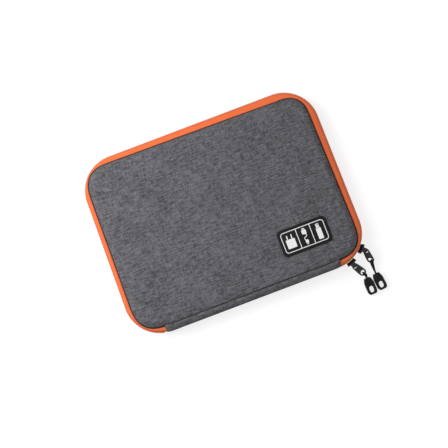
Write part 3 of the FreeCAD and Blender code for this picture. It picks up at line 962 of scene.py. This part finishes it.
def clothLifts(shape):
    # blows up the outer face as a cloth held at its seam, over the inner face and under the patch
    mesh = bpy.data.meshes.new("blown")
    shape.to_mesh(mesh)
    mesh.transform(metres)
    blown = addObject("blown", mesh)
    weave = weaveOf(shape)
    held = blown.vertex_groups.new(name="held")
    for vertex in shape.verts:
        x, y, side = vertex[weave]
        free = side * min(1.0, 3 * crownAt(x, y)) * clearOfPatch(x, y)
        held.add([vertex.index], 1.0 if free < cover["heldBelow"] else 0.0, "REPLACE")
    cloth = blown.modifiers.new("cloth", "CLOTH")
    cloth.settings.vertex_group_mass = "held"
    cloth.settings.quality = 5
    cloth.settings.mass = 0.2
    cloth.settings.use_pressure = True
    cloth.settings.uniform_pressure_force = cover["pressure"]
    cloth.settings.shrink_min = -0.01
    cloth.settings.effector_weights.gravity = 0
    for number in range(1, cover["frames"] + 1):
        bpy.context.scene.frame_set(number)
    swollen = blown.evaluated_get(bpy.context.evaluated_depsgraph_get()).data
    lifts = [(before.co.z - after.co.z) * 1000 for before, after in zip(mesh.vertices, swollen.vertices)]
    bpy.data.objects.remove(blown)
    bpy.data.meshes.remove(mesh)
    bpy.context.scene.frame_set(1)
    print("cloth swelled by", round(max(lifts), 2), "mm")
    return [lift * cover["cap"] / max(lifts) for lift in lifts]


def shellShape(part):
    # a padded shell: the base's lies flat on the table, and the lid's swells round its patch
    rows = (coverSection(cover["zipDrop"]), coverSection(cover["spineDrop"]))
    shape = trayShape(*rows, outerRows, part)
    weave = weaveOf(shape)
    shape.verts.index_update()
    swells = part == "lid"
    simulated = clothLifts(shape) if swells else None
    for vertex in shape.verts:
        x, y, side = vertex[weave]
        if swells:
            lift = simulated[vertex.index] if simulated else cover["crown"] * crownAt(x, y)
            broad, fine = [noise.noise(Vector((x * rate, y * rate, 3.0))) for rate in cover["waveRates"]]
            lift += cover["wave"] * (broad + 0.5 * fine) * min(1.0, 4 * crownAt(x, y))
            vertex.co.z -= lift * side * clearOfPatch(x, y)
        vertex[weave] = (x, y, 0)
    return shape


for part in ("lid", "base"):
    shape = shellShape(part)
    if part == "lid":
        flipUp(shape)
    shell = finishPiece(f"{part}Shell", shape, part, "heather",
                        [f"{part}_outer_fabric", f"{part}_foam"], smooth=1)
print("shells made")


zipBand = {
    "ditch": 6.3,           # inset at which the tape leaves the furrow beside the shell's edge
    "crest": 6.0,           # and its height there
    "edge": 0.75,           # inset of the tape at the teeth
    "meets": coilHigh.z,    # height at which it stops
    "roundness": 0.74,      # of its shoulder: 1 is an ellipse, less is boxier
    "thickness": 0.7,
    # its flap in the furrow, as places past the ditch and above the crest
    "flapOuter": ((0.7, 0.75), (0.2, 0.5)),
    "flapInner": ((0.1, 1.9), (0.8, 1.5)),
    "duck": 0.55,           # how much lower the flap lies where the seam is farther in
    "step": 2.6,
}
paintedFurrowShade = {                  # a dark band that stands for the shade in the furrow, an ellipse: painted shade
    "inset": zipBand["ditch"] + 0.9,
    "height": zipBand["crest"] - 0.1,
    "half": 0.85,
    "rise": 0.9,
    "sides": 10,
    "reach": 0.8,           # past each end of the zip
}


def bulgeRow(angle, offset):
    # the tape's round shoulder, from the furrow at 0 degrees to the teeth at 90
    turn = math.radians(angle)
    out = math.sin(turn) ** zipBand["roundness"]
    up = max(0.0, math.cos(turn)) ** zipBand["roundness"]
    span = zipBand["ditch"] - zipBand["edge"]
    rise = zipBand["meets"] - zipBand["crest"]
    return zipBand["ditch"] - span * out + offset * out, zipBand["meets"] - rise * up + offset * up


def bulgeInset(high):
    # how far in the tape's shoulder stands at a height
    share = (zipBand["meets"] - high) / (zipBand["meets"] - zipBand["crest"])
    turn = math.acos(min(1.0, max(0.0, share)) ** (1 / zipBand["roundness"]))
    return bulgeRow(math.degrees(turn), 0.0)[0]


def flapRows(side):
    return [(zipBand["ditch"] + past, zipBand["crest"] + up) for past, up in zipBand[side]]


def tapeShape(part):
    # the tape follows the shell's seam at one side and the teeth at the other
    def adjusted(along, inset, high):
        span = zipBand["ditch"] - zipBand["edge"]
        moved = min(1.0, max(0.0, (inset - zipBand["edge"]) / span))
        shift = seamAt(along, part) - cover["seamInset"]
        if inset > zipBand["ditch"]:
            high -= zipBand["duck"] * max(0.0, shift)
        return inset + shift * moved, high

    section = flapRows("flapOuter")
    section += [bulgeRow(angle, 0.0) for angle in range(10, 91, 10)]
    section += [bulgeRow(angle, zipBand["thickness"]) for angle in range(90, 29, -20)]
    section += flapRows("flapInner")
    return bandShape(evenStops(pouch["zipStart"], zipEnd, zipBand["step"]), section, adjusted)


def furrowShadeShape(part):
    # a dark band at the bottom of the furrow between shell and tape: painted shade that stands for the
    # furrow's shadow
    def adjusted(along, inset, high):
        return inset + seamAt(along, part) - cover["seamInset"], high

    stops = evenStops(pouch["zipStart"] - paintedFurrowShade["reach"], zipEnd + paintedFurrowShade["reach"], zipBand["step"])
    return bandShape(stops, roundSection(paintedFurrowShade), adjusted)


# painted shade: a black band laid in the furrow stands for its shadow
finishHalves("seamGroove{Half}", furrowShadeShape, "binding", smooth=1)
finishHalves("zipTape{Half}", tapeShape, "tape", ["zip_tape_{half}"], smooth=1)

teeth = {
    "pitch": 1.7,
    "length": 2.9,
    "width": 0.78,
    "depth": 0.8,
    "inset": 0.46,
    "overlap": 0.32,        # reach of each row past the middle of the pouch
    "slant": 9.0,
    "covered": 2.8,         # length at each end that is left out, under the spine
}


def teethShape(part):
    # the lid's teeth stand half a step on from the base's
    places = []
    phase = 0.5 if part == "lid" else 0.0
    count = int((zipEnd - pouch["zipStart"] - 2 * teeth["covered"]) / teeth["pitch"])
    centre = pouch["height"] / 2 + teeth["overlap"] - teeth["length"] / 2
    for index in range(count):
        along = pouch["zipStart"] + teeth["covered"] + (index + phase) * teeth["pitch"]
        point, outward = pouchLine.at(along, teeth["inset"])
        point.z = centre
        forward = Vector((-outward.y, outward.x, 0))
        turn = Matrix((Vector((0, 0, 1)), forward, -outward)).transposed()
        slant = Matrix.Rotation(math.radians(teeth["slant"]), 3, "Z")
        places.append(Matrix.Translation(point) @ (turn @ slant).to_4x4())
    return repeatShape(capsule(teeth["length"], teeth["width"], teeth["depth"]), places)


finishHalves("zipTeeth{Half}", teethShape, "coil", ["zip_coil_{half}"], sharp=180)
print("zip made")


rim = {                     # the binding inside each half, an ellipse
    "inset": 3.65,
    "height": 11.55,
    "half": 1.95,
    "rise": 1.05,
    "sides": 12,
    "step": 3.0,
}


def rimShape(_):
    return bandShape(evenStops(pouch["zipStart"], zipEnd, rim["step"]), roundSection(rim))


finishHalves("rimBinding{Half}", rimShape, "binding", ["{body}_binding"], smooth=1)

lining = {
    "floor": 4.6,
    "flatInsets": (27.0, 20.0),
    "floorInset": 15.5,     # where the floor turns up to the wall
    "wallInset": 5.0,
    "spineInset": 3.4,      # where it ends beside the spine
    "top": 11.6,
    "curve": 1.48,          # of the turn: 1 is an ellipse, more is flatter
    "steps": 9,
    "thickness": 0.6,
    "thickInset": 14.0,     # farther in, the thickness is taken downwards, and outwards beyond
    "ease": 3.2,            # how it gives way to the spine
    "shift": -0.6,
}


def liningRows(toSpine):
    rows = [(inset, lining["floor"]) for inset in (pouch["corner"], *lining["flatInsets"])]
    steps = lining["steps"]
    for step in range(steps + 1):
        turn = math.pi / 2 * (1 - step / steps)
        if toSpine:
            rows.append((lerp(lining["floorInset"], lining["spineInset"], step / steps), lining["floor"]))
            continue
        run = lining["floorInset"] - lining["wallInset"]
        rise = lining["top"] - lining["floor"]
        rows.append((lining["floorInset"] - run * math.cos(turn) ** lining["curve"],
                     lining["top"] - rise * math.sin(turn) ** lining["curve"]))
    back = []
    for inset, high in reversed(rows):
        if toSpine or inset > lining["thickInset"]:
            back.append((inset, high - lining["thickness"]))
        else:
            back.append((inset - lining["thickness"], high))
    return rows + back


def liningShape(_):
    return trayShape(liningRows(False), liningRows(True), len(liningRows(True)) // 2,
                     ease=lining["ease"], shift=lining["shift"])


finishHalves("{body}Lining", liningShape, "lining", ["{body}_lining"], smooth=1)

spine = {
    "overlap": 2.5,         # that each end reaches over the zip tape
    "tuck": 6.0,            # length over which each end is pressed down on the tape
    "tuckShare": 0.85,
    "tuckInset": 6.0,       # farther in, it isn't pressed down
    "step": 1.6,
    "coverEnd": (0.35, 3.6),    # how far the pressed end stands off the tape, and its lowest height
    "liningEnd": (-1.0, 5.6),
    # sections of (inset, height) points up to the middle, where the two halves meet
    "outer": [(9.0, 3.9), (8.1, 3.7), (7.2, 3.3), (6.5, 2.3), (5.9, 1.75), (5.0, 1.6), (3.6, 2.15),
              (2.2, 3.05), (1.0, 4.2), (0.35, 5.4), (0.05, 7.0), (-0.1, 9.5), (-0.15, 12.2),
              (-0.15, 12.85), (-0.15, 12.97), (-0.15, 13.01)],
    "inner": [(2.2, 13.01), (2.2, 12.97), (2.2, 9.5), (2.3, 6.5), (2.9, 5.2), (4.0, 4.3),
              (6.0, 3.9), (9.0, 4.3)],
    "liningOuter": [(2.8, 13.01), (2.8, 12.97), (2.8, 12.85), (2.85, 9.5), (2.95, 6.9), (3.6, 5.5),
                    (5.0, 4.85), (7.5, 4.72)],
    "liningInner": [(7.5, 4.2), (5.0, 4.3), (3.2, 5.1), (2.45, 6.6), (2.3, 9.5), (2.2, 12.97),
                    (2.2, 13.01)],
}


def spineShape(section, pressing):
    lap, lowest = pressing
    start = zipEnd - spine["overlap"]
    end = pouchLine.length + pouch["zipStart"] + spine["overlap"]

    def adjusted(along, inset, high):
        near = 1 - smoothStep(min(along - start, end - along) / spine["tuck"])
        if inset > spine["tuckInset"] or near == 0:
            return inset, high
        low = max(high, zipBand["crest"])
        pressed = bulgeInset(low) - lap
        share = near * spine["tuckShare"]
        if inset > pressed:
            return inset, high
        return lerp(inset, pressed, share), lerp(high, max(high, lowest), share)

    return bandShape(evenStops(start, end, spine["step"]), section, adjusted)


edgeY = -pouch["halfWidth"]
bends = {
    "spineCover": ((0, edgeY + 0.5, 3.4), (0, edgeY, 6.2)),
    "spineLining": ((0, edgeY + 3.6, 4.8), (0, edgeY + 2.4, 7.2)),
}
for name, section, seamRow, pressing, finish, nodes in (
    ("spineCover", spine["outer"] + spine["inner"], len(spine["outer"]) - 1, spine["coverEnd"],
     "heather", ["spine_fabric", "spine_board"]),
    ("spineLining", spine["liningOuter"] + spine["liningInner"], 0, spine["liningEnd"],
     "lining", ["spine_lining"]),
):
    start, end = bends[name]
    low = finishPiece(f"{name}Lower", spineShape(section, pressing), None, finish, nodes, smooth=1)
    inMetres(start)
    inMetres(end)
    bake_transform(low)
    upper = flipUp(spineShape(section, pressing), runsAlong(section)[seamRow])
    high = finishPiece(f"{name}Upper", upper, None, finish, (), smooth=1)
    top = pouch["height"]
    inMetres((end[0], end[1], top - end[2]))
    inMetres((start[0], start[1], top - start[2]))
    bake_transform(high)
print("rims, linings and spine made")


fitting = {                 # what the pieces share
    "floor": lining["floor"],
    "meshThickness": 0.35,
    "stitchPitch": 3.2,
}
band = {
    "thickness": 0.7,
    "seat": 0.15,           # height above the lining
    "arch": 0.75,           # how far the loops stand up between their seams
    "archCurve": 0.8,       # of a loop: 1 is a sine, less is fuller
    "archRun": 22.0,        # length from which a loop stands up fully
    "narrower": (0.25, 0.5),        # by so much, and by this share of what it stands up
    "ripple": (0.05, 1.9),  # height and frequency of the waves in its edges
    "step": 1.9,
    "seamRows": (-0.9, 0.9),
    "endMargin": 0.8,       # that the stitches keep from its ends, and from its sides
    "sideMargin": 1.0,
    "stitchPitch": 2.7,
    "seams": {              # along each band, in parts of its length
        "elastic_band_back": (0.012, 0.16, 0.29, 0.40, 0.50, 0.61, 0.73, 0.86, 0.988),
        "elastic_band_middle": (0.012, 0.22, 0.36, 0.48, 0.58, 0.68, 0.78, 0.88, 0.988),
    },
}
stitch = {"length": 2.3, "width": 0.5, "height": 0.34}
baseStitches = []
lidStitches = []


def bandHeight(x, seams):
    # a seam, then an arch up to the next seam
    for start, end in zip(seams, seams[1:]):
        if start <= x <= end:
            share = (x - start) / (end - start)
            full = min(1.0, (end - start) / band["archRun"])
            return band["arch"] * math.sin(math.pi * share) ** band["archCurve"] * full
    return 0.0


def makeBand(node):
    low, high = nodeBox(node)
    seams = [lerp(low.x, high.x, share) for share in band["seams"][node]]
    middle = (low.y + high.y) / 2
    half = (high.y - low.y) / 2
    top = fitting["floor"] + band["seat"] + band["thickness"]
    shape = panelShape(low, high, band["step"], lambda x, y: top + bandHeight(x, seams))
    drawn, riseShare = band["narrower"]
    rippleHeight, rippleRate = band["ripple"]
    for vertex in shape.verts:
        rise = vertex.co.z - top
        across = (vertex.co.y - middle) / half
        ripple = rippleHeight * math.sin(vertex.co.x * rippleRate) * across ** 4
        vertex.co.y = middle + across * (half - drawn - rise * riseShare)
        vertex.co.z += ripple
    first, *others = node.split("_")
    name = first + "".join(word.capitalize() for word in others)
    finishPiece(name, shape, "base", "elastic", [node], smooth=1, thick=band["thickness"])
    for seamPlace in seams:
        for offset in band["seamRows"]:
            inside = min(high.x - band["endMargin"], max(low.x + band["endMargin"], seamPlace + offset))
            ends = [(inside, y, top + 0.1) for y in (low.y + band["sideMargin"], high.y - band["sideMargin"])]
            baseStitches.extend(stitchesBetween(*ends, band["stitchPitch"]))


for node in band["seams"]:
    makeBand(node)

basePocket = {
    "hemThickness": 0.7,
    "hemRaised": 0.75,      # of that thickness, how much stands above the panel
    "hemMargin": 0.4,
    "hemRipple": (0.05, 1.3),       # height and frequency
    "hemSeam": 1.1,         # from the hem's near side to its stitches
    "seat": 0.25,           # height above the lining
    "swell": 0.55,          # how far the panel stands up
    "crease": 0.28,         # how uneven it is there
    "creaseRates": (0.07, 0.035),   # how fast the creases change along and across
    "margin": 1.0,          # of the panel inside the tape round the pocket
    "tapeWidth": 3.2,
    "tapeHeights": (0.05, 1.1),     # of its two sides above the lining
    "tapeLap": 1.5,         # that it reaches past the hem's near side
    "corner": 2.0,
    "cardGap": 4.0,
    "panelStep": 2.6,
    "hemStep": 1.5,
    "tapeStep": 1.0,
}


def creaseAt(x, y, rates, seed):
    return noise.noise(Vector((x * rates[0], y * rates[1], seed)))


def pocketHeight(low, high, seed):
    # a slack panel, sewn down on three sides and open at its far side
    def heightAt(x, y):
        across = (2 * x - low.x - high.x) / (high.x - low.x)
        along = (y - low.y) / (high.y - low.y)
        swell = (1 - across ** 4) * math.sin(math.pi / 2 * min(1.0, along * 1.3))
        crease = creaseAt(x, y, basePocket["creaseRates"], seed)
        top = fitting["floor"] + basePocket["seat"] + fitting["meshThickness"]
        return top + swell * (basePocket["swell"] + basePocket["crease"] * crease)

    return heightAt


def makePocket(name, low, high, hemLow, seed, replaced, hemReplaced):
    heightAt = pocketHeight(low, high, seed)
    margin = basePocket["margin"]
    sheet = panelShape((low.x + margin, low.y + margin), (high.x - margin, high.y - margin / 2),
                       basePocket["panelStep"], heightAt)
    panel = finishPiece(name, sheet, "base", "mesh", replaced, smooth=1, thick=fitting["meshThickness"])

    raised = basePocket["hemThickness"] * basePocket["hemRaised"]
    rippleHeight, rippleRate = basePocket["hemRipple"]
    margin = basePocket["hemMargin"]
    hem = panelShape((low.x + margin, hemLow), (high.x - margin, high.y), basePocket["hemStep"],
                     lambda x, y: heightAt(x, y) + raised + rippleHeight * math.sin(x * rippleRate))
    hemPiece = finishPiece(f"{name}Hem", hem, "base", "binding", hemReplaced, smooth=1,
                           thick=basePocket["hemThickness"])

    line = outlineOf(low, high, basePocket["corner"])
    start = 2 * (line.quarter + line.arcX + line.arcY)
    end = line.length + line.quarter + 2 * line.arcY - (high.y - hemLow) + basePocket["tapeLap"]
    under, over = [fitting["floor"] + height for height in basePocket["tapeHeights"]]
    section = flatSection(0.0, basePocket["tapeWidth"], under, over)
    edge = bandShape(evenStops(start, end, basePocket["tapeStep"]), section, line=line)
    edging = finishPiece(f"{name}Edge", edge, "base", "binding", smooth=1)

    baseStitches.extend(stitchesRound(line, start, end, basePocket["tapeWidth"] / 2, over + 0.02,
                                      fitting["stitchPitch"]))
    seamY = hemLow + basePocket["hemSeam"]
    for place in stitchesBetween((low.x + 2, seamY, 0), (high.x - 2, seamY, 0), fitting["stitchPitch"]):
        spot = place.translation
        place.translation.z = heightAt(spot.x, spot.y) + raised + 0.06
        baseStitches.append(place)
    inMetres((high.x - low.x, high.y - low.y))


slipLow, slipHigh = nodeBox("slip_pocket")
hemLow, _ = nodeBox("slip_pocket_hem")
makePocket("slipPocket", slipLow, slipHigh, hemLow.y, 4.0, ["slip_pocket"], ["slip_pocket_hem"])

cardLow, cardHigh = nodeBox("card_pockets")
cardHemLow, _ = nodeBox("card_pocket_hems")
cardMiddle = (cardLow.x + cardHigh.x) / 2
halfGap = basePocket["cardGap"] / 2
for side, first, last, nodes, hemNodes in (
    ("Left", cardLow.x, cardMiddle - halfGap, ["card_pockets"], ["card_pocket_hems"]),
    ("Right", cardMiddle + halfGap, cardHigh.x, (), ()),
):
    low = Vector((first, cardLow.y, 0))
    high = Vector((last, cardHigh.y, 0))
    makePocket(f"cardPocket{side}", low, high, cardHemLow.y, 7.0 + first * 0.1, nodes, hemNodes)
print("base fittings made")


pocketLow, pocketHigh = nodeBox("pocket_mesh")
edgeLow, edgeHigh = nodeBox("pocket_edge")
innerTapeLow, innerTapeHigh = nodeBox("pocket_zip_tape")
innerCoilLow, innerCoilHigh = nodeBox("pocket_zip_coil")
lidPocket = {
    "corner": 7.0,
    "edgeWidth": 6.0,
    "edgeLap": 1.5,         # of the panel and the zip's tape under the edge
    "edgeSeams": 1.2,       # from each side of the edge to its stitches
    "sag": 0.75,
    "crease": 0.35,
    "creaseRates": (0.022, 0.05),
    "tapeThickness": 0.5,
    "tapeDip": 0.35,        # how far the zip's tape turns down to its teeth
    "toothPitch": 1.3,
    "toothLength": 3.9,
    "toothWidth": 0.72,
    "toothHeight": 0.92,
    "toothTurn": 96.0,
}


def pocketSag(x, y):
    across = 2 * x / (pocketHigh.x - pocketLow.x)
    along = (2 * y - pocketLow.y - pocketHigh.y) / (pocketHigh.y - pocketLow.y)
    slack = (1 - across ** 6) * (1 - along ** 6)
    crease = creaseAt(x, y, lidPocket["creaseRates"], 5.0)
    return pocketLow.z + 0.1 - slack * (lidPocket["sag"] + lidPocket["crease"] * crease)


def panelBelow(low, high, step, heightAt):
    # a sheet that faces down
    shape = panelShape(low, high, step, heightAt)
    bmesh.ops.reverse_faces(shape, faces=shape.faces)
    return shape


inner = lidPocket["edgeWidth"] - lidPocket["edgeLap"]
panel = panelBelow((pocketLow.x + inner, pocketLow.y + inner), (pocketHigh.x - inner, pocketHigh.y + 0.5),
                   3.0, pocketSag)
pocketPanel = finishPiece("pocketMesh", panel, "lid", "mesh", ["pocket_mesh"], smooth=1,
                          thick=fitting["meshThickness"])

pocketLine = outlineOf(edgeLow, edgeHigh, lidPocket["corner"])
section = flatSection(0.0, lidPocket["edgeWidth"], pocketHigh.z - 0.05, edgeLow.z)
edge = bandShape(pocketLine.stops(8, 60, 40), section, line=pocketLine)
pocketEdge = finishPiece("pocketEdge", edge, "lid", "binding", ["pocket_edge"], smooth=1)
for inset in (lidPocket["edgeSeams"], lidPocket["edgeWidth"] - lidPocket["edgeSeams"]):
    lidStitches += stitchesRound(pocketLine, 0, pocketLine.length, inset, edgeLow.z, fitting["stitchPitch"])

halfCoil = (innerCoilHigh.y - innerCoilLow.y) / 2
coilY = (innerCoilLow.y + innerCoilHigh.y) / 2


def innerTapeHeight(_, y):
    # the tape lies flat and turns down to the teeth in its middle
    return innerTapeLow.z + 0.1 - lidPocket["tapeDip"] * smoothStep(1.6 - abs(y - coilY) / halfCoil)


innerTape = panelBelow((innerTapeLow.x + inner, innerTapeLow.y),
                       (innerTapeHigh.x - inner, innerTapeHigh.y - inner), 1.4, innerTapeHeight)
finishPiece("pocketZipTape", innerTape, "lid", "innerTape", ["pocket_zip_tape"], smooth=1,
            thick=lidPocket["tapeThickness"])
seamEnds = [(x, innerTapeLow.y + lidPocket["edgeSeams"], innerTapeLow.z + 0.05)
            for x in (innerTapeLow.x + inner, innerTapeHigh.x - inner)]
lidStitches += stitchesBetween(*seamEnds, fitting["stitchPitch"])

toothPlaces = []
toothCount = int((innerCoilHigh.x - innerCoilLow.x - 1) / lidPocket["toothPitch"])
for number in range(toothCount + 1):
    along = innerCoilLow.x + 0.5 + number * lidPocket["toothPitch"]
    centre = Vector((along, coilY, (innerCoilLow.z + innerCoilHigh.z) / 2))
    turn = Matrix.Rotation(math.radians(lidPocket["toothTurn"]), 4, "Z")
    toothPlaces.append(Matrix.Translation(centre) @ turn)
tooth = capsule(lidPocket["toothLength"], lidPocket["toothWidth"], lidPocket["toothHeight"])
innerTeeth = repeatShape(tooth, toothPlaces)
finishPiece("pocketZipTeeth", innerTeeth, "lid", "innerCoil", ["pocket_zip_coil"], sharp=180)
inMetres((pocketHigh.x - pocketLow.x, pocketHigh.y - pocketLow.y))

for name, places, body in (("baseStitches", baseStitches, "base"), ("lidStitches", lidStitches, "lid")):
    unit = capsule(stitch["length"], stitch["width"], stitch["height"], 6, 4)
    finishPiece(name, repeatShape(unit, places), body, "thread", sharp=180)
print("lid pocket made,", len(baseStitches) + len(lidStitches), "stitches")


zipTab = {"from": 2.6, "rounding": 0.45}    # inset at which the folded end comes out of the spine
for part, body in (("lower", "base"), ("upper", "lid")):
    shape = roundedCopy(f"zip_stops_{part}", zipTab["rounding"])
    for vertex in shape.verts:
        vertex.co.y = max(vertex.co.y, zipTab["from"] - pouch["halfWidth"])
    finishPiece(f"zipEnds{part.capitalize()}", shape, body, "tape", [f"zip_stops_{part}"])

# how finely each moulded part is rebuilt, and how often it is smoothed
moulding = {"grip": (0.26, 70), "slider": (0.19, 14), "pocketSlider": (0.14, 16), "pocketPull": (0.13, 9)}
rounding = {"tab": 0.35, "patch": 0.45}
for number in ("1", "2"):
    pull, slider, tab = f"pull_{number}", f"slider_{number}", f"pull_{number}_tab"
    finishPiece(f"pull{number}Tab", roundedCopy(tab, rounding["tab"]), pull, "metal", [tab])
    mouldedPiece(f"pull{number}Grip", f"{pull}_grip", pull, "grip", moulding["grip"])
    mouldedPiece(f"slider{number}Body", f"{slider}_body", slider, "metal", moulding["slider"])
for name, node in (("pocketSlider", "pocket_slider"), ("pocketPull", "pocket_pull")):
    mouldedPiece(name, node, node, "metal", moulding[name])

finishPiece("patchBase", roundedCopy("patch_base", rounding["patch"]), "lid", "patch", ["patch_base"])
for node in ("patch_frame", "patch_symbols"):
    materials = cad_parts[node].data.materials
    materials.clear()
    materials.append(finishes["print"].material)
print("fittings made")
